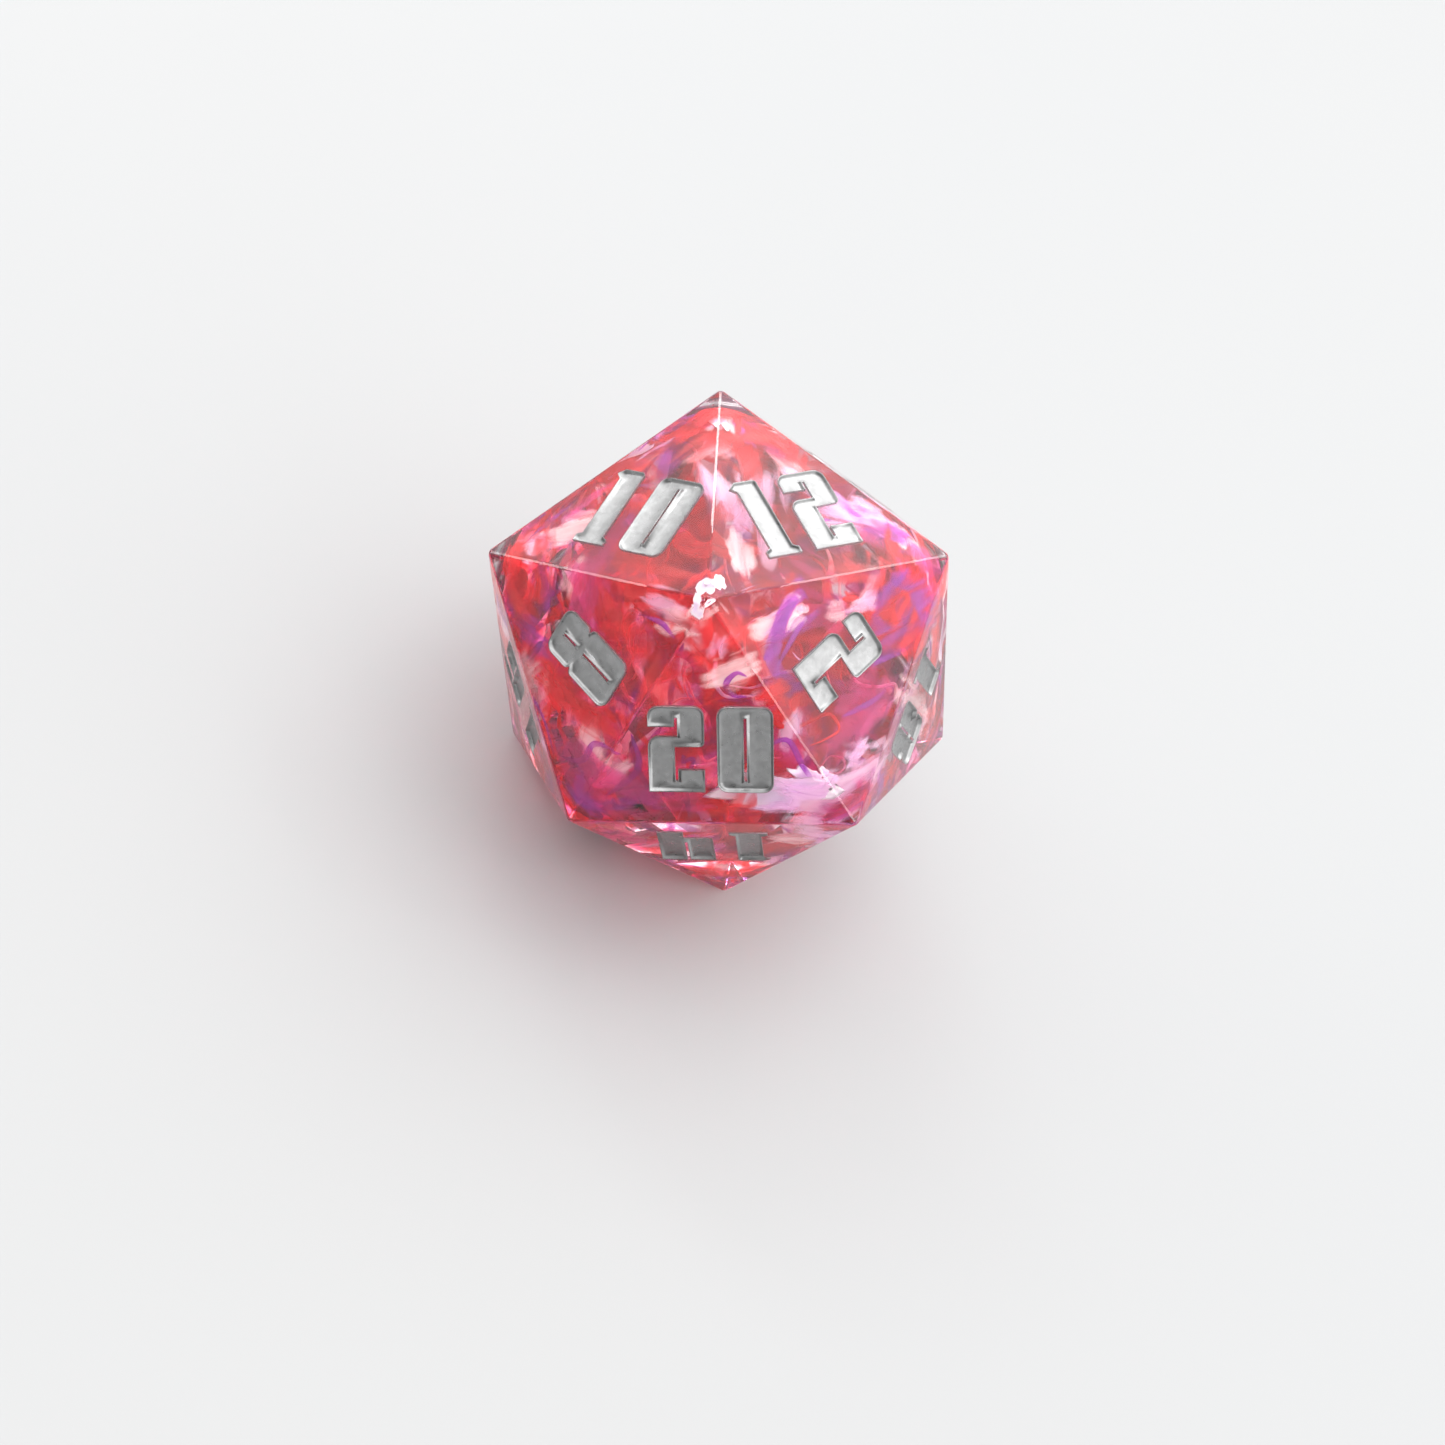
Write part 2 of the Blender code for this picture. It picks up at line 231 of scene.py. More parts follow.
def ink(name, tint, tone_stops, body, grain=0.3, stretch=4.0, wisps=0.7):
    """Ink spread in the resin: it tints what is seen through it, and body of it scatters light.

    Its grain follows the flow of each swirl, in millimetres, and is stretch times longer along it.
    wisps is how deep the grain cuts into the ink.
    """
    made, tree, shader = material(name)
    streaks = streaks_of(tree, grain, stretch, 4)
    mottle = ranged(tree, streaks, 0.3, 0.66, -wisps, 0.05)
    spread = node(tree, "Attribute", {"attribute_name": "ink"}).outputs["Fac"]
    density = ranged(tree, math_of(tree, "ADD", mottle, spread), 0.0, 0.95)
    tree.links.new(tones(tree, streaks, tone_stops), shader.inputs["Base Color"])
    shader.inputs["Roughness"].default_value = 0.45
    seen = node(tree, "Mix", {"data_type": "RGBA"})
    tree.links.new(density, seen.inputs["Factor"])
    # a Mix node's colours A and B are its inputs 6 and 7, and their mix is its output 2
    seen.inputs[6].default_value = (1, 1, 1, 1)
    seen.inputs[7].default_value = (*tint, 1)
    through = node(tree, "BsdfTransparent", Color=seen.outputs[2])
    mix = node(tree, "MixShader", Fac=math_of(tree, "MULTIPLY", density, body))
    tree.links.new(through.outputs["BSDF"], mix.inputs[1])
    tree.links.new(shader.outputs["BSDF"], mix.inputs[2])
    tree.links.new(mix.outputs["Shader"], tree.nodes["Material Output"].inputs["Surface"])
    return made


def film_and_painted_glint_material():
    """Glossy film, hot pink towards its edges and white and pearly in its middle. The white middle is
    partly a painted highlight for the film's glint, and the shift of colour across it is iridescence
    painted into its colour.
    """
    made, tree, shader = material("iridescent_film_and_painted_glint")
    play = streaks_of(tree, 0.45, 2.5, 3)
    spread = node(tree, "Attribute", {"attribute_name": "ink"}).outputs["Fac"]
    hue = math_of(tree, "MULTIPLY", math_of(tree, "ADD", spread, play), 0.6)
    stops = [
        (0.1, (0.95, 0.16, 0.54)),
        (0.22, (1, 0.6, 0.85)),
        (0.34, (1, 0.95, 0.98)),
        (0.85, (0.9, 0.78, 1.0)),
    ]
    tree.links.new(tones(tree, hue, stops), shader.inputs["Base Color"])
    shader.inputs["Metallic"].default_value = 0.1
    shader.inputs["Roughness"].default_value = 0.25
    crease = node(tree, "Bump", Strength=0.5, Distance=0.0003, Height=play)
    tree.links.new(crease.outputs["Normal"], shader.inputs["Normal"])
    return made


def silver_paint():
    """Satin silver paint, slightly mottled, with fine metal flake."""
    made, tree, shader = material("silver_paint")
    mottle = noise_of(tree, 900, 5, 0.6)
    greys = [(0.3, (0.29, 0.29, 0.29)), (0.7, (0.37, 0.37, 0.372))]
    tree.links.new(tones(tree, mottle, greys), shader.inputs["Base Color"])
    shader.inputs["Metallic"].default_value = 1
    satin = ranged(tree, noise_of(tree, 1500, 3), 0.3, 0.7, 0.26, 0.42)
    tree.links.new(satin, shader.inputs["Roughness"])
    flake = node(tree, "Bump", Strength=0.25, Distance=0.00006, Height=noise_of(tree, 9000, 2))
    tree.links.new(flake.outputs["Normal"], shader.inputs["Normal"])
    return made


# Ink: what it lets through, its own darker and lighter tones, and how much of it scatters light
INKS = {
    "coral": ink(
        "coral_ink",
        (0.96, 0.4, 0.43),
        [(0.35, (0.78, 0.03, 0.05)), (0.65, (0.95, 0.15, 0.14))],
        body=0.14,
    ),
    "crimson": ink(
        "crimson_ink",
        (0.92, 0.14, 0.18),
        [(0.35, (0.58, 0.004, 0.015)), (0.65, (0.82, 0.02, 0.03))],
        body=0.5,
    ),
    "magenta": ink(
        "magenta_ink",
        (0.91, 0.38, 0.68),
        [(0.35, (0.62, 0.04, 0.26)), (0.65, (0.82, 0.18, 0.46))],
        body=0.16,
    ),
    "violet": ink(
        "violet_ink",
        (0.74, 0.34, 0.82),
        [(0.35, (0.36, 0.03, 0.42)), (0.65, (0.52, 0.14, 0.6))],
        body=0.22, grain=0.35,
    ),
    "lilac": ink(
        "lilac_ink",
        (0.97, 0.8, 0.96),
        [(0.35, (0.75, 0.42, 0.72)), (0.65, (0.98, 0.78, 0.92))],
        body=0.4, grain=0.4, wisps=0.8,
    ),
    "pearl": ink(
        "pearl_ink",
        (1.0, 0.9, 0.9),
        [(0.38, (1.0, 0.52, 0.56)), (0.6, (1.0, 0.88, 0.86))],
        body=0.55, grain=0.35, stretch=5.0, wisps=0.6,
    ),
}


# Swirls: thin closed lenses and strands of ink

SOFT_FLATNESS = 3  # a strand at least this flat fades towards its edges
SHEET_THICKNESS = 0.12 * MM  # from a sheet's middle plane to its side, at its thickest
RIPPLE_LENGTH = 7 * MM


class Swirls:
    """All the swirls of one ink, or one piece of film, gathered into one mesh. Some film pieces are painted
    glints.
    """

    RINGS = 8  # of faces in a sheet, from its middle to its rim
    SPOKES = 32  # round a sheet
    SIDES = 8  # round a strand

    def __init__(self, name):
        self.name = name
        self.mesh = bmesh.new()
        self.spread = self.mesh.verts.layers.float.new("ink")
        self.flow = self.mesh.verts.layers.float_vector.new("flow")

    def point(self, place, share, flow):
        """A vertex in the resin, with its share of ink and its place in the grain."""
        made = self.mesh.verts.new(keep_inside(place) + CENTRE)
        made[self.spread] = share
        made[self.flow] = flow
        return made

    def sheet(self, place, length, width, ripple, seed, thickness=SHEET_THICKNESS):
        """A rippled lens with a ragged outline in the XY plane of place, thickest at its middle."""
        layers = []
        for side in (1, -1):
            rings = []
            for ring in range(self.RINGS):
                out = ring / self.RINGS
                row = []
                for spoke in range(self.SPOKES if ring else 1):
                    turn = 2 * math.pi * spoke / self.SPOKES
                    half = side * thickness
                    row.append(self.lens_point(place, length, width, ripple, seed, out, turn, half))
                rings.append(row)
            layers.append(rings)
        rim = [
            self.lens_point(place, length, width, ripple, seed, 1, 2 * math.pi * spoke / self.SPOKES, 0)
            for spoke in range(self.SPOKES)
        ]
        for rings, flip in zip(layers, (False, True)):
            rows = rings[1:] + [rim]
            for index, here in enumerate(rows[0]):
                self.face((rings[0][0], here, rows[0][(index + 1) % self.SPOKES]), flip)
            for inner, outer in zip(rows, rows[1:]):
                for index in range(self.SPOKES):
                    after = (index + 1) % self.SPOKES
                    self.face((inner[index], outer[index], outer[after], inner[after]), flip)

    def lens_point(self, place, length, width, ripple, seed, out, turn, thickness):
        """A point of a sheet, out of the way from its middle to its rim and turned round it."""
        # each seed has its own place in the noise, so that no two sheets have the same outline
        around = Vector((math.cos(turn), math.sin(turn), seed * 7.3))
        ragged = 1 + 0.5 * noise.noise(around * 1.5) + 0.3 * noise.noise(around * 3.7)
        x = length / 2 * out * ragged * math.cos(turn)
        y = width / 2 * out * ragged * math.sin(turn)
        where = Vector((x, y, seed * 0.013)) * (1 / RIPPLE_LENGTH)
        x += 0.25 * width * noise.noise(where + Vector((31, 0, 0)))
        lift = ripple * noise.noise(where) + 0.4 * ripple * noise.noise(where * 2.7)
        z = lift + thickness * (1 - out * out)
        return self.point(place @ Vector((x, y, z)), 1 - out**2, Vector((x / MM, y / MM, seed * 11)))

    def strand(self, points, radius, flatness=1.0):
        """A tube of ink along a smooth line through points, tapering to both ends."""
        line = smooth_line(points)
        rings = []
        for index, here in enumerate(line):
            along = (line[min(index + 1, len(line) - 1)] - line[max(index - 1, 0)]).normalized()
            side = along.cross(here).normalized()
            lift = side.cross(along)
            # thin at both ends, but never down to a point
            swell = radius * math.sin(math.pi * (index + 0.3) / (len(line) - 0.4)) ** 0.6
            ring = []
            for corner in range(self.SIDES):
                turn = 2 * math.pi * corner / self.SIDES
                offset = side * math.cos(turn) * flatness + lift * math.sin(turn)
                share = 1 if flatness < SOFT_FLATNESS else abs(math.sin(turn))
                # along the strand, across it, and elsewhere in the grain for another radius
                flow = Vector((index * 1.2, math.cos(turn) * flatness * radius / MM, radius * 1e5))
                ring.append(self.point(here + offset * swell, share, flow))
            rings.append(ring)
        for first, second in zip(rings, rings[1:]):
            for index in range(self.SIDES):
                after = (index + 1) % self.SIDES
                self.face((first[index], first[after], second[after], second[index]))
        self.face(tuple(reversed(rings[0])))
        self.face(tuple(rings[-1]))

    def face(self, corners, flip=False):
        made = self.mesh.faces.new(tuple(reversed(corners)) if flip else corners)
        made.smooth = True

    def finish(self, surface):
        bmesh.ops.recalc_face_normals(self.mesh, faces=self.mesh.faces)
        add_piece(self.name, self.mesh, surface)


def smooth_line(points, steps=6):
    """Points on a Catmull-Rom curve through the given ones."""
    ends = [points[0] * 2 - points[1], *points, points[-1] * 2 - points[-2]]
    line = []
    for before, start, end, after in zip(ends, ends[1:], ends[2:], ends[3:]):
        for step in range(steps):
            t = step / steps
            line.append(
                0.5
                * (
                    2 * start
                    + (end - before) * t
                    + (2 * before - 5 * start + 4 * end - after) * t * t
                    + (3 * start - before - 3 * end + after) * t**3
                )
            )
    line.append(points[-1])
    return line


def add_piece(name, shape, surface):
    """Makes an object of a bmesh in the row frame and lets it ride on the die's body."""
    mesh = bpy.data.meshes.new(name)
    shape.to_mesh(mesh)
    shape.free()
    mesh.materials.append(surface)
    made = bpy.data.objects.new(name, mesh)
    bpy.context.scene.collection.objects.link(made)
    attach(made, BODY)
    return made


def on_face(number, across, up, depth):
    """A point about the die's centre, from millimetres on a face and below it."""
    return FACE_FRAMES[number] @ (Vector((across, up, -depth)) * MM)


# Sheets of ink under the faces that the camera sees, in millimetres:
# ink, across and up from the face's centre, depth, length, width and the length's turn in degrees
# A few pale sheets below are painted glints and painted reflection, as marked.
SHEETS = {
    8: [
        # painted glint: this small pale sheet by the front corner stands in for the corner's glints
        ("pearl", 15.5, -9.6, 2.4, 5, 1.6, 150),
        ("crimson", -6, 12, 4.5, 9, 6, 80),
        ("violet", -5, 12, 2.2, 14, 6, 100),
        ("coral", -2, 15, 5, 14, 9, 70),
        ("violet", 2, 11, 3, 9, 4, 60),
        ("pearl", 5, 9, 2.8, 7, 5, 30),
        ("coral", 6, 1, 5, 14, 9, 80),
        ("coral", 1, -4, 5.5, 12, 9, 20),
        ("pearl", 12.5, -7, 2.8, 10, 5, 120),
        ("lilac", 12, -4.5, 3.4, 9, 3.5, 110),
        ("crimson", -7.5, 4, 2.2, 15, 6, 95),
        ("crimson", -6.5, -5, 2.6, 11, 5, 110),
        ("magenta", -7, 9, 5, 12, 7, 110),
        ("pearl", -9, -6, 3.5, 7, 5, 20),
        ("magenta", -15, -8, 4.5, 12, 8, 20),
    ],
    20: [
        # painted glints: these two small pale sheets by the front corner stand in for the corner's glints
        ("pearl", -1.5, 18.6, 2.2, 4, 1.2, 60),
        ("pearl", 1.2, 18.9, 2.2, 3.6, 1.0, 120),
        ("coral", -1, 14, 4.5, 11, 8, 90),
        ("lilac", 1, 13.5, 2.8, 5, 4, 90),
        ("pearl", 2.4, 9.8, 2.6, 7.5, 5.5, 20),
        ("pearl", 6.3, 6.2, 3, 4, 2.5, 120),
        ("crimson", 7.6, 5.2, 3.2, 4, 2.5, 30),
        ("coral", -6.4, 6, 5, 12, 8, 60),
        ("coral", -4, -3, 7, 18, 12, 20),
        ("magenta", 9, -2, 5, 11, 8, 110),
        ("lilac", 9.7, 0.8, 3, 6, 3.5, 80),
        ("crimson", 0, -9.5, 4, 7, 3, 0),
        ("magenta", -4, -9.5, 2.3, 14, 5, 0),
        ("violet", -9.5, -8.4, 1.6, 9, 4, 10),
        ("lilac", 7.5, -9.6, 1.6, 9, 2.6, 0),
        ("coral", 2, -10, 2.6, 10, 4, 0),
        ("pearl", -12.5, -4.5, 3.6, 7, 4.5, 40),
        ("magenta", -9, -6, 5, 10, 8, 0),
    ],
    2: [
        ("crimson", -2.5, -9, 2.0, 6, 3.5, 60),
        ("crimson", 1, -9.3, 3, 4.5, 2.5, 60),
        ("crimson", 1.2, -7, 3, 4, 2.5, 100),
        ("coral", -11.5, -7.5, 4, 11, 8, 40),
        ("lilac", -8.6, -1.5, 3, 9, 5, 80),
        ("pearl", -8, -3, 4, 9, 4, 60),
        ("violet", -6.2, -2, 3.4, 9, 3, 80),
        ("crimson", -4, 7, 3, 4, 2.5, 0),
        ("crimson", -1, 7.4, 3, 3.5, 2.2, 60),
        ("pearl", -3.2, 10.3, 3.4, 7, 4, 110),
        ("pearl", -4.1, 5, 3.4, 6, 3.5, 60),
        ("violet", -1.8, 11.3, 3, 6, 2, 80),
        ("crimson", 1.9, -0.2, 3, 4, 3, 40),
        ("magenta", 2.6, 11.7, 5, 13, 8, 60),
        ("magenta", 9, -2, 5, 15, 8, 100),
        ("coral", 0, 2, 7, 16, 12, 60),
        ("coral", -9, -9, 6, 12, 9, 0),
        ("magenta", 3, 11, 3.4, 14, 8, 60),
        ("crimson", 5, 13, 4.4, 9, 6, 80),
        ("violet", 4.5, 7, 3.6, 9, 3, 70),
        ("magenta", 2, 11.5, 3.4, 17, 11, 75),
        ("violet", -1, 12, 1.9, 10, 3, 100),
        ("magenta", 9, 2, 2.4, 12, 8, 95),
        ("violet", 2.5, 13.5, 1.7, 16, 12, 75),
        ("crimson", 3, 13, 2.4, 17, 11, 75),
        ("crimson", 1.5, 15.5, 1.8, 9, 7, 60),
        ("lilac", -2.5, 9, 2.0, 8, 3, 75),
        ("lilac", 11.9, -4.1, 1.6, 6, 4, 100),
    ],
    10: [
        ("lilac", -13.5, -6, 1.8, 12, 5, 10),
        ("pearl", -9.5, -4, 2.0, 9, 5, 30),
        ("lilac", -13, -6.5, 3, 9, 6, 0),
        ("violet", -8, -4.5, 4, 7, 4, 60),
        ("coral", 8, -7, 5, 12, 7, 0),
        ("coral", 0, -6, 5, 14, 9, 0),
        ("crimson", 13.5, -7.2, 3, 7, 2.5, 70),
        ("crimson", -3, 15.8, 4, 8, 5, 40),
        ("crimson", -1.5, 14.5, 2.2, 8, 4, 60),
        ("violet", -3, 14, 3, 5, 3, 80),
        ("pearl", 1.5, 13, 4, 8, 4, 60),
        ("pearl", -9, -1, 3.4, 9, 4, 20),
        ("crimson", 2, 17, 5, 9, 5, 90),
        ("coral", 0, 4, 6, 14, 10, 40),
    ],
    12: [
        ("violet", 14, -5.5, 1.7, 9, 6, 150),
        ("lilac", 6, 3, 1.8, 14, 7, 120),
        ("crimson", 0.8, 16.6, 2.4, 4, 2, 60),
        ("crimson", 3.5, 14.5, 2.2, 9, 4, 120),
        ("violet", 0.8, 15, 1.8, 7, 2, 100),
        ("magenta", 4, 12.5, 2.6, 9, 3, 125),
        ("crimson", 6, 10, 2.0, 10, 3, 120),
        ("lilac", 11, -2, 2.2, 17, 10, 150),
        ("violet", 8, 2, 2.6, 12, 4, 120),
        ("magenta", 11, -2, 3.0, 16, 10, 150),
        ("violet", 11, -4, 2.2, 7, 4, 150),
        ("lilac", 12.5, -0.5, 4, 9, 6, 100),
        ("coral", 3.5, -7.8, 4, 12, 4, 0),
        ("crimson", 5, 14.5, 4, 9, 4, 120),
        ("pearl", -0.5, 17, 3, 5, 4, 90),
        ("pearl", 5, 9, 4.5, 8, 3.5, 110),
        ("lilac", -7, 4, 3, 14, 6, 80),
        ("pearl", -9, -3, 3.4, 9, 4, 70),
        ("crimson", 1, 12, 5, 10, 5, 60),
        ("violet", 3, 16, 4, 7, 3, 120),
        ("lilac", -2, 3, 6, 16, 10, 60),
    ],
    # painted reflection: under faces 16 and 18 the pale sheets just below the face whiten it as its grazing
    # sheen would
    16: [
        ("pearl", 0, 2, 1.6, 26, 14, 90),
        ("pearl", 0, 5, 2.6, 22, 11, 90),
    ],
    18: [
        ("pearl", 0, 1, 1.6, 24, 10, 90),
        ("lilac", -3, -3, 3.4, 18, 9, 150),
    ],
    14: [
        ("magenta", 13.5, -0.7, 4, 12, 7, 150),
        ("magenta", 12.5, -1, 2, 13, 5, 160),
        ("crimson", 6, -2.5, 4, 10, 5, 20),
        ("coral", 0, 9, 4, 14, 8, 90),
        ("pearl", -11, -2, 4, 9, 6, 30),
        ("pearl", -11, -1, 2, 10, 4, 160),
        ("lilac", 8, 2, 2, 9, 3, 30),
        ("pearl", 0, 13, 2.4, 9, 4, 80),
    ],
}

# Strands of ink: the ink, the strand's radius, and its points on the same faces
STRANDS = {
    8: [
        ("violet", 0.3, [(-14.3, -3.4, 3), (-12, -6.5, 2.7), (-9, -6.7, 3), (-7.5, -9.5, 3.2)]),
        ("violet", 0.22, [(9.2, -2.8, 3), (10.5, -5.8, 2.7), (10.2, -8.5, 3.2)]),
        ("violet", 0.25, [(-12, 7, 3.4), (-13, 2, 3), (-15.5, -2, 3.2)]),
    ],
    20: [
        (
            "violet",
            0.25,
            [(4.6, 9.6, 2.8), (3.3, 10.2, 2.5), (2, 8.6, 2.4), (2.8, 7, 2.6), (4.6, 6.6, 2.9)],
        ),
        ("crimson", 0.5, [(7, 5.6, 3), (8.2, 4.4, 2.8), (8.6, 2.8, 3.2), (10, 2.2, 3.6)]),
        ("violet", 0.28, [(-13.8, -8.2, 3), (-9.5, -4, 2.8), (-10.2, 1, 3.2)]),
        ("violet", 0.25, [(5.5, -1.5, 3), (9.5, 0.5, 2.8), (11.5, -3.2, 3), (14, -7.8, 3.2)]),
    ],
    2: [
        ("violet", 0.25, [(3.6, 3.2, 3), (4.6, 4.6, 2.6), (5.6, 7.4, 2.7), (6.6, 9, 3.2)]),
        ("violet", 0.28, [(7, -3.2, 3.2), (7.8, -0.7, 2.7), (8.6, 2.4, 2.7), (8.5, 5, 3.2)]),
        ("violet", 0.25, [(-6.7, 0.6, 3), (-5.8, -3, 2.8), (-4.4, -6.6, 3.2)]),
        ("crimson", 0.45, [(-5, 6, 3), (-3.4, 7.6, 2.7), (-0.8, 7.8, 2.8), (-0.2, 5, 3.2)]),
    ],
}

LIKE_FACES = (8, 2, 20)  # the other faces take turns at these

# Pieces of film under the faces, and small pale pieces on faces 8, 10 and 12 by the front and top corners
# that are painted glints: across, up, depth, length, width, turn and tilt
FILMS_AND_PAINTED_GLINTS = {
    20: [(8.2, -6.9, 2.6, 15, 5.6, 3, 10), (12.4, -5.4, 3.6, 6, 3, 150, 8)],
    8: [(16.2, -9.2, 1.9, 2.4, 1.6, 20, 8)],
    10: [(15.4, -7.9, 1.8, 2.6, 1.8, 100, 10)],
    12: [(-15.2, -7.9, 1.8, 2.6, 2.0, 60, 8), (-1.0, 17.6, 2.2, 2.8, 1.6, 90, 8)],
    7: [(2, 3, 4, 12, 5, 20, 15)],
    5: [(-4, 2, 4, 11, 5, 60, 10)],
    19: [(3, 5, 4, 12, 5, 40, 15)],
    4: [(-2, 6, 4, 10, 4, 100, 15)],
    17: [(4, 4, 4, 10, 5, 130, 10)],
}

# Ink that fills the rest of the resin: how many sheets and ribbons of each, and the sheets' lengths
FILL = {
    "coral": (16, 12, (16, 32)),
    "crimson": (5, 8, (8, 16)),
    "magenta": (16, 12, (14, 28)),
    "violet": (6, 20, (8, 16)),
    "lilac": (5, 8, (8, 16)),
    "pearl": (5, 10, (6, 13)),
}

# Ink in the corners: two sheets of these across each, nearer and farther from its tip
CORNER_INKS = {
    "b0": ("crimson", "coral"),
    "b1": ("magenta", "crimson"),
    "b2": ("magenta", "lilac"),
    "b3": ("violet", "magenta"),
    "b4": ("crimson", "coral"),
    "y0": ("coral", "magenta"),
    "y1": ("magenta", "coral"),
    "y2": ("coral", "coral"),
    "y3": ("magenta", "crimson"),
    "y4": ("crimson", "magenta"),
    "z": ("coral", "violet"),
}
CORNER_DEPTHS = (2.3, 5.5)  # millimetres from a corner's tip


def turned(degrees, axis):
    """A turn about an axis through the origin."""
    return Matrix.Rotation(math.radians(degrees), 4, axis)


def face_place(number, across, up, depth, turn, tilt=0.0):
    """A frame on a face, turned about the way out of it and then tilted about its own X axis."""
    shift = Matrix.Translation(Vector((across, up, -depth)) * MM)
    return FACE_FRAMES[number] @ shift @ turned(turn, "Z") @ turned(tilt, "X")


def random_direction():
    return Vector([random.gauss(0, 1) for _ in range(3)]).normalized()


SPREAD_POWER = 0.45  # 1/3 would spread the points evenly through a ball, and 1 would crowd its middle


def random_point():
    """A point in the resin, about the die's centre."""
    direction = random_direction()
    reach = (INRADIUS - INK_DEPTH) / max(direction.dot(outward) for outward in OUTWARD)
    return direction * reach * random.uniform(0.05, 1) ** SPREAD_POWER


EDDY_SIZE = 13 * MM
FLOW_STEP = 2.6  # millimetres between the points of a strand that follows the flow


def current(point):
    """The way the ink flowed at a point: along the lines where two slow noises stay level."""
    slopes = []
    for shift in (Vector((3, 0, 0)), Vector((0, 17, 0))):
        where = point / EDDY_SIZE + shift
        here = noise.noise(where)
        slopes.append(Vector([noise.noise(where + step) - here for step in Matrix.Identity(3) * 0.05]))
    way = slopes[0].cross(slopes[1])
    return way.normalized() if way.length > 1e-9 else Vector((1, 0, 0))


SHEET_RIPPLE = 1.2 * MM
FILL_RIPPLE = 4 * MM
CORNER_SHEET = (3.6, 3.2, 0.15)  # length, width and ripple of a corner's sheet for each unit of its depth
STRAND_FLATNESS = 1.6
FILL_FLATNESSES = (1.5, 6, 10)  # round strands and two kinds of ribbon


def add_swirls():
    """The ink under the faces, then in the corners, and then through the rest of the resin."""
    swirls = {name: Swirls(f"swirls_{name}") for name in INKS}
    seed = 0
    for number in FACES:
        like = number if number in SHEETS else LIKE_FACES[number % len(LIKE_FACES)]
        for name, across, up, depth, length, width, turn in SHEETS[like]:
            seed += 1
            place = face_place(number, across, up, depth, turn)
            swirls[name].sheet(place, length * MM, width * MM, SHEET_RIPPLE, seed)
        for name, radius, points in STRANDS.get(like, ()):
            swirls[name].strand([on_face(number, *point) for point in points], radius * MM, STRAND_FLATNESS)
    for corner, names in CORNER_INKS.items():
        for name, depth in zip(names, CORNER_DEPTHS):
            seed += 1
            tip = CORNERS[corner]
            middle = tip * (1 - depth * MM / CORNER_RADIUS)
            place = Matrix.Translation(middle) @ tip.to_track_quat("Z", "Y").to_matrix().to_4x4()
            length, width, ripple = (share * depth * MM for share in CORNER_SHEET)
            swirls[name].sheet(place, length, width, ripple, seed)
    random.seed(SEED)
    for name, (sheets, strands, lengths) in FILL.items():
        for _ in range(sheets):
            seed += 1
            point = random_point()
            facing = (point.normalized() * 1.2 + random_direction()).normalized()
            place = Matrix.Translation(point) @ facing.to_track_quat("Z", "Y").to_matrix().to_4x4()
            place = place @ turned(random.uniform(0, 180), "Z")
            length = random.uniform(*lengths) * MM
            swirls[name].sheet(place, length, length * random.uniform(0.35, 0.7), FILL_RIPPLE, seed)
        for _ in range(strands):
            points = [random_point()]
            for _ in range(random.randint(5, 10)):
                points.append(keep_inside(points[-1] + current(points[-1]) * FLOW_STEP * MM))
            flatness = random.choice(FILL_FLATNESSES)
            swirls[name].strand(points, random.uniform(0.13, 0.22) * MM, flatness)
    for name, group in swirls.items():
        group.finish(INKS[name])


FILM_RIPPLE = 1.6 * MM
FILM_THICKNESS = 0.05 * MM


# Film pieces, a few of them painted glints by the front and top corners
def add_films_and_painted_glints():
    surface = film_and_painted_glint_material()
    for number, films in FILMS_AND_PAINTED_GLINTS.items():
        for index, (across, up, depth, length, width, turn, tilt) in enumerate(films, 1):
            piece = Swirls(f"film_and_glint_{number}_{index}")
            place = face_place(number, across, up, depth, turn, tilt)
            seed = number * 3 + index
            piece.sheet(place, length * MM, width * MM, FILM_RIPPLE, seed, FILM_THICKNESS)
            piece.finish(surface)


# Paint in the numerals: from the CAD's flat plates, widened to fill their recesses

RECESS_DEPTH = 0.8 * MM
BITE = 0.02 * MM  # how far the paint reaches into the resin that it is bonded to
# The paint's section from the recess's mouth to its floor, in millimetres:
# outwards from the CAD plate's edge, and below the face
PAINT_SECTION = [
    (0.32, 0.02),
    (0.26, 0.03),
    (0.20, 0.10),
    (0.13, 0.24),
    (0.05, 0.38),
    (-0.05, 0.47),
    (-0.14, 0.51),
]
DISH_DEPTH = 0.14 * MM  # how much deeper the paint's floor lies in the middle of a stroke
DISH_REACH = 1.3 * MM  # from the floor's edge to its deepest place
DISH_GRID = 0.3 * MM


def plate_frame(shape):
    """The frame of a CAD paint plate: its origin on the face and its Z axis out of the die."""
    middle = sum((vert.co for vert in shape.verts), Vector()) / len(shape.verts)
    outward = max(OUTWARD, key=lambda way: way.dot(middle - CENTRE))
    side = outward.orthogonal().normalized()
    origin = middle + outward * (INRADIUS - outward.dot(middle - CENTRE))
    return Matrix.Translation(origin) @ Matrix((side, outward.cross(side), outward)).transposed().to_4x4()


def plate_loops(shape):
    """The outlines of a plate's top, each as points in the plane with the paint on the left."""
    top = [face for face in shape.faces if face.normal.z > 0.99]
    following = {}
    for face in top:
        for loop in face.loops:
            if loop.edge.link_faces[0].normal.z < 0.99 or loop.edge.link_faces[1].normal.z < 0.99:
                following[loop.vert] = loop.link_loop_next.vert
    loops = []
    while following:
        start = next(iter(following))
        points = []
        here = start
        while here in following:
            points.append(here.co.to_2d())
            here = following.pop(here)
        loops.append(points)
    return loops


LEAST_MITRE = 0.4  # keeps a sharp corner of a widened outline from running out too far


def widened(points, distance):
    """An outline with every side moved outwards by a distance."""
    moved = []
    for index, here in enumerate(points):
        before = (here - points[index - 1]).normalized()
        after = (points[(index + 1) % len(points)] - here).normalized()
        mitre = Vector((before.y + after.y, -before.x - after.x)).normalized()
        moved.append(here + mitre * distance / max(mitre.dot(Vector((after.y, -after.x))), LEAST_MITRE))
    return moved


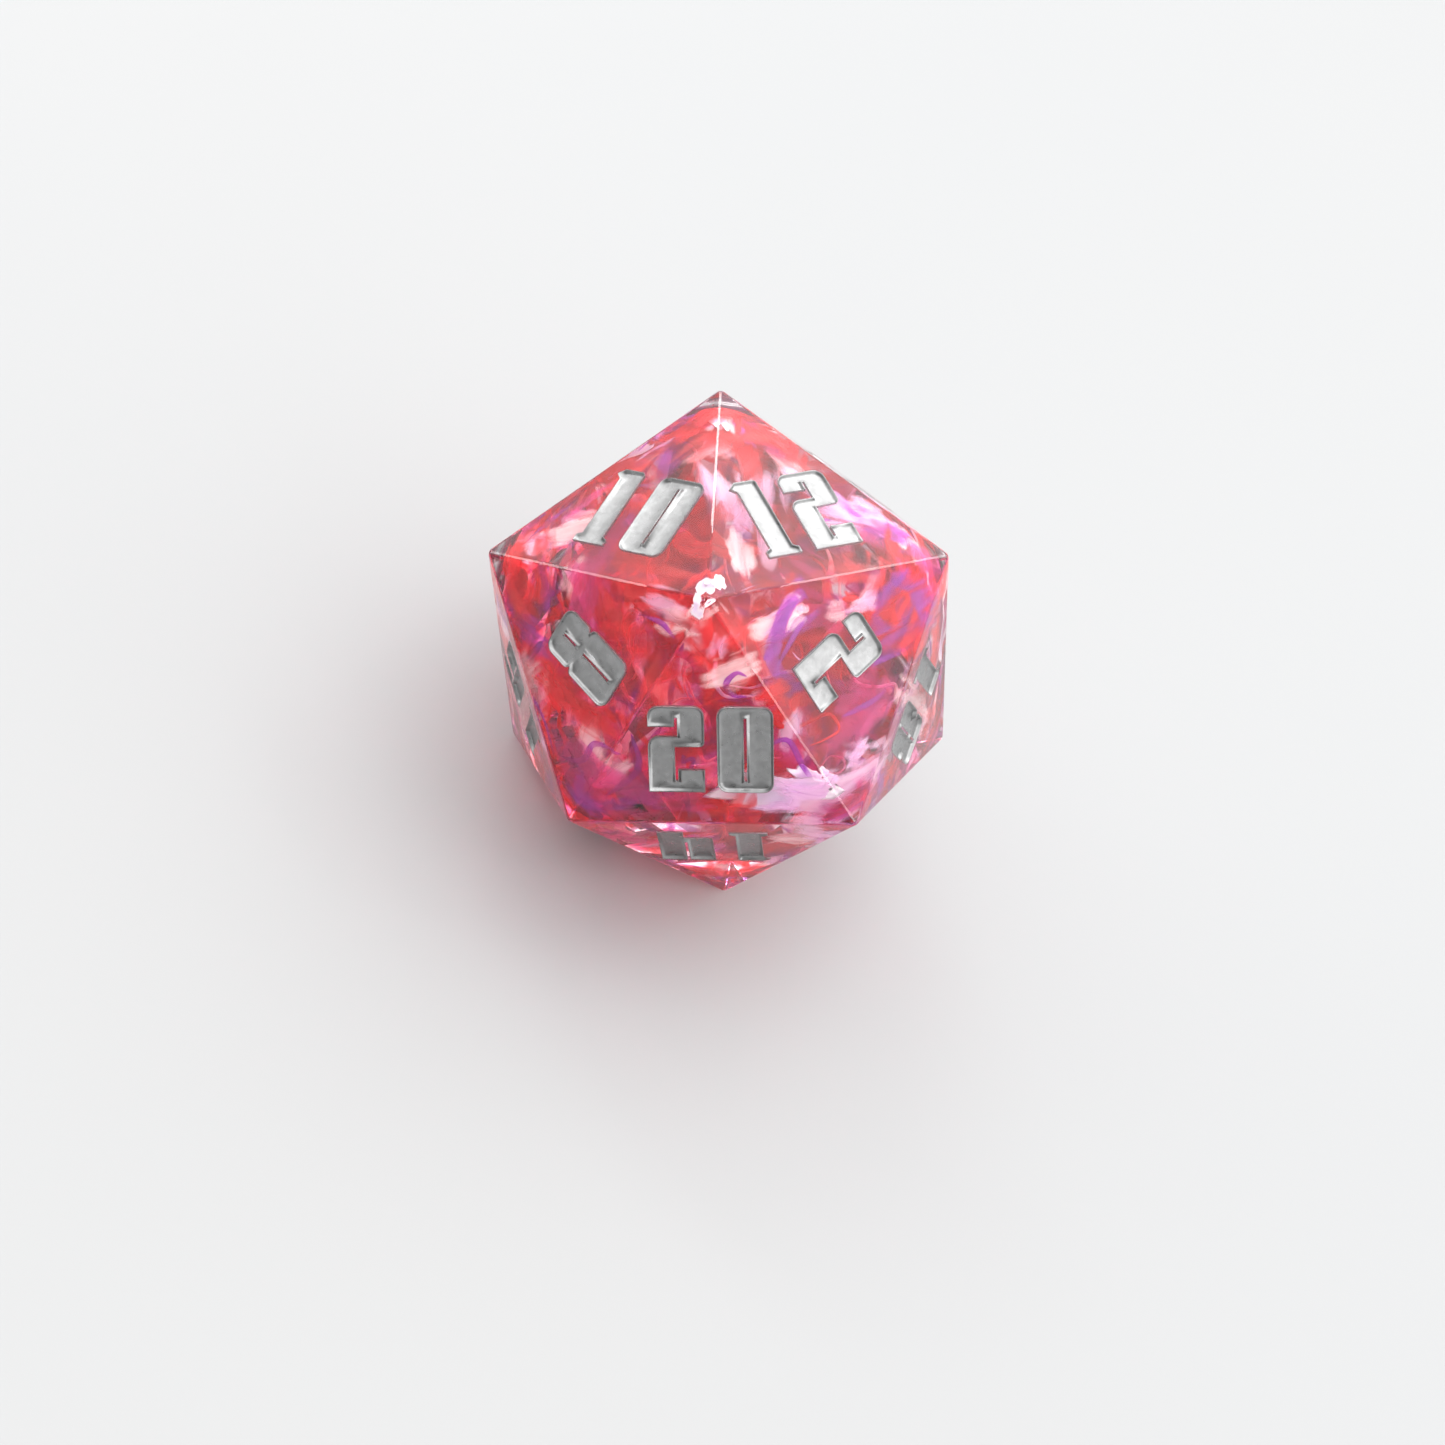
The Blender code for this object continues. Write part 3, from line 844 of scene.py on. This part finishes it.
def paint_shape(cad_mesh):
    """The paint of one digit: a solid that lines its recess, with a dished top."""
    plate = bmesh.new()
    plate.from_mesh(cad_mesh)
    bmesh.ops.remove_doubles(plate, verts=plate.verts, dist=MM / 500)
    place = plate_frame(plate)
    plate.transform(place.inverted())
    plate.normal_update()
    loops = plate_loops(plate)
    plate.free()
    shape = bmesh.new()
    section = [(PAINT_SECTION[0][0] * MM, -RECESS_DEPTH - BITE)]
    section += [(out * MM, -depth * MM) for out, depth in PAINT_SECTION]
    bottom_edges = []
    floor_rows = []
    for points in loops:
        rows = []
        for out, height in section:
            moved = widened(points, out)
            rows.append([shape.verts.new((point.x, point.y, height)) for point in moved])
        for low, high in zip(rows, rows[1:]):
            for index in range(len(points)):
                before = index - 1
                made = shape.faces.new((low[before], low[index], high[index], high[before]))
                made.smooth = True
        bottom_edges += [shape.edges.get(ends) for ends in zip(rows[0], rows[0][-1:] + rows[0][:-1])]
        floor_rows.append(rows[-1])
    bmesh.ops.triangle_fill(shape, edges=bottom_edges, use_beauty=True)
    add_dish(shape, floor_rows)
    bmesh.ops.recalc_face_normals(shape, faces=shape.faces)
    shape.transform(place)
    return shape


def inside(point, loops):
    """True if a point is within an outline and outside its holes."""
    crossings = 0
    for loop in loops:
        for here, after in zip(loop, loop[1:] + loop[:1]):
            if (here.y > point.y) != (after.y > point.y):
                crossings += point.x < here.x + (point.y - here.y) / (after.y - here.y) * (after.x - here.x)
    return crossings % 2 == 1


def edge_distance(point, loops):
    """How far a point lies from the nearest outline, counted up to DISH_REACH."""
    nearest = DISH_REACH
    for loop in loops:
        for here, after in zip(loop, loop[1:] + loop[:1]):
            on_side, share = geometry.intersect_point_line(point, here, after)
            share = min(max(share, 0), 1)
            nearest = min(nearest, (here.lerp(after, share) - point).length)
    return nearest


def add_dish(shape, rows):
    """Closes the paint's top with a floor that sinks towards the middle of each stroke."""
    loops = [[vert.co.to_2d() for vert in row] for row in rows]
    level = rows[0][0].co.z
    points = [point for loop in loops for point in loop]
    edges = []
    start = 0
    for loop in loops:
        edges += [(start + index, start + (index + 1) % len(loop)) for index in range(len(loop))]
        start += len(loop)
    low = [min(point[axis] for point in points) for axis in (0, 1)]
    high = [max(point[axis] for point in points) for axis in (0, 1)]
    counts = [int((high[axis] - low[axis]) / DISH_GRID) for axis in (0, 1)]
    for column in range(counts[0]):
        for line in range(counts[1]):
            point = Vector((low[0] + (column + 0.5) * DISH_GRID, low[1] + (line + 0.5) * DISH_GRID))
            if inside(point, loops) and edge_distance(point, loops) > DISH_GRID / 2:
                points.append(point)
    flat, _, triangles, *_ = geometry.delaunay_2d_cdt(points, edges, [], 1, 1e-9)
    border = [vert for row in rows for vert in row]
    made = list(border)
    for point in flat[len(border) :]:
        share = 1 - edge_distance(point, loops) / DISH_REACH
        made.append(shape.verts.new((point.x, point.y, level - DISH_DEPTH * (1 - share * share))))
    for corners in triangles:
        middle = sum((flat[corner] for corner in corners), Vector((0, 0))) / 3
        if inside(middle, loops):
            shape.faces.new([made[corner] for corner in corners]).smooth = True


def add_paint():
    surface = silver_paint()
    for name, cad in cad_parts.items():
        if name.startswith("paint_"):
            lining = paint_shape(cad.data)
            made = add_piece(name.replace("paint", "numeral"), lining, surface)
            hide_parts(name)


# The room


FLOOR_SIZE = 3.0  # from its middle to its sides
FLOOR_GAP = 0.02 * MM  # between the floor and the face that the die rests on


def add_floor():
    shape = bmesh.new()
    below = Matrix.Translation((0, 0, -FLOOR_GAP))
    bmesh.ops.create_grid(shape, x_segments=8, y_segments=8, size=FLOOR_SIZE, matrix=below)
    mesh = bpy.data.meshes.new("floor")
    shape.to_mesh(mesh)
    shape.free()
    surface, tree, shader = material("pale_floor")
    greys = [(0.3, (0.357, 0.361, 0.365)), (0.7, (0.367, 0.369, 0.370))]
    shade = tones(tree, noise_of(tree, 3, 2), greys)
    tree.links.new(shade, shader.inputs["Base Color"])
    shader.inputs["Roughness"].default_value = 0.8
    mesh.materials.append(surface)
    floor = bpy.data.objects.new("floor", mesh)
    bpy.context.scene.collection.objects.link(floor)


LIGHT_FROM = Vector((0.05, 0.62, 0.78)).normalized()  # high at the back
DOME_LIGHT = (0.24, 2.62)  # from the side away from the light to the side towards it
SIDE_LIGHT = 0.6  # more of it to the left and right
WINDOW_LIGHT = 1.15  # and more in a round patch about the way that the light comes from
BACKDROP_LIGHT = 0.9  # what the camera sees of the dome


def add_world():
    """A soft studio dome, brightest high at the back. The camera sees it evenly pale."""
    world = bpy.data.worlds.new("studio")
    bpy.context.scene.world = world
    world.use_nodes = True
    tree = world.node_tree
    background = tree.nodes["Background"]
    background.inputs["Color"].default_value = (1, 1, 1, 1)
    direction = node(tree, "TexCoord").outputs["Generated"]
    towards = node(tree, "VectorMath", {"operation": "DOT_PRODUCT"})
    tree.links.new(direction, towards.inputs[0])
    towards.inputs[1].default_value = LIGHT_FROM
    dome = ranged(tree, towards.outputs["Value"], -0.3, 0.9, *DOME_LIGHT)
    across = node(tree, "SeparateXYZ", Vector=direction).outputs["X"]
    sides = ranged(tree, math_of(tree, "MULTIPLY", across, across), 0.3, 0.9, 0, SIDE_LIGHT)
    dome = math_of(tree, "ADD", dome, sides)
    window = ranged(tree, towards.outputs["Value"], 0.86, 0.99, 0, WINDOW_LIGHT)
    dome = math_of(tree, "ADD", dome, window)
    seen = node(tree, "LightPath").outputs["Is Camera Ray"]
    shown = node(tree, "Mix", {"data_type": "FLOAT"}, Factor=seen, A=dome, B=BACKDROP_LIGHT)
    tree.links.new(shown.outputs["Result"], background.inputs["Strength"])


LAMP_DISTANCE = 0.57  # from the die's centre
LAMP_SIZE = (0.20, 0.06)
# Strip lights that the front corner's edges mirror: the way to each, the way it runs, and its power
LAMPS = {
    "left_strip": ((-0.62, 0.45, 0.645), (0.22, 0.12, 0.12), 0.50),
    "right_strip": ((0.38, 0.42, 0.82), (0.27, -0.16, -0.04), 0.26),
    "front_strip": ((0.80, -0.49, 0.32), (-0.10, -0.28, -0.19), 0.22),
    "low_strip": ((-0.94, -0.30, 0.15), (-0.06, 0.25, 0.13), 0.22),
}


def add_lamps():
    for name, (away, along, power) in LAMPS.items():
        away = Vector(away).normalized()
        along = Vector(along)
        along = (along - away * away.dot(along)).normalized()
        lamp = bpy.data.lights.new(name, "AREA")
        lamp.shape = "RECTANGLE"
        lamp.size, lamp.size_y = LAMP_SIZE
        lamp.energy = power
        made = bpy.data.objects.new(name, lamp)
        turn = Matrix((along, away.cross(along), away)).transposed().to_4x4()
        made.matrix_world = Matrix.Translation(CENTRE + away * LAMP_DISTANCE) @ turn
        bpy.context.scene.collection.objects.link(made)


CAMERA_DISTANCE = 0.400  # from the die's centre
CAMERA_HEADING = 10.87  # degrees from +Y towards -X
CAMERA_PITCH = 47.33  # degrees down
CAMERA_ROLL = 28.52  # degrees, its top towards its left
CAMERA_DROP = 9.93 * MM  # how far the middle of the picture lies below the die's centre
CAMERA_LENS = 75.5


def add_camera():
    data = bpy.data.cameras.new("camera")
    data.sensor_width = 36
    data.lens = CAMERA_LENS
    data.clip_start = 0.01
    made = bpy.data.objects.new("camera", data)
    aim = turned(CAMERA_HEADING, "Z") @ turned(90 - CAMERA_PITCH, "X") @ turned(CAMERA_ROLL, "Z")
    offset = aim @ Vector((0, -CAMERA_DROP, CAMERA_DISTANCE))
    made.matrix_world = Matrix.Translation(CENTRE + offset) @ aim
    bpy.context.scene.collection.objects.link(made)
    bpy.context.scene.camera = made


def set_light_paths():
    """Enough bounces for light that crosses the faces and many sheets of ink."""
    cycles = bpy.context.scene.cycles
    cycles.max_bounces = 32
    cycles.transmission_bounces = 24
    cycles.glossy_bounces = 12
    cycles.transparent_max_bounces = 96


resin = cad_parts["resin_body"]
resin.data.materials.clear()
resin.data.materials.append(clear_resin())
add_paint()
add_swirls()
add_films_and_painted_glints()
add_floor()
add_world()
add_lamps()
add_camera()
set_light_paths()
bpy.context.scene.view_settings.view_transform = "Standard"
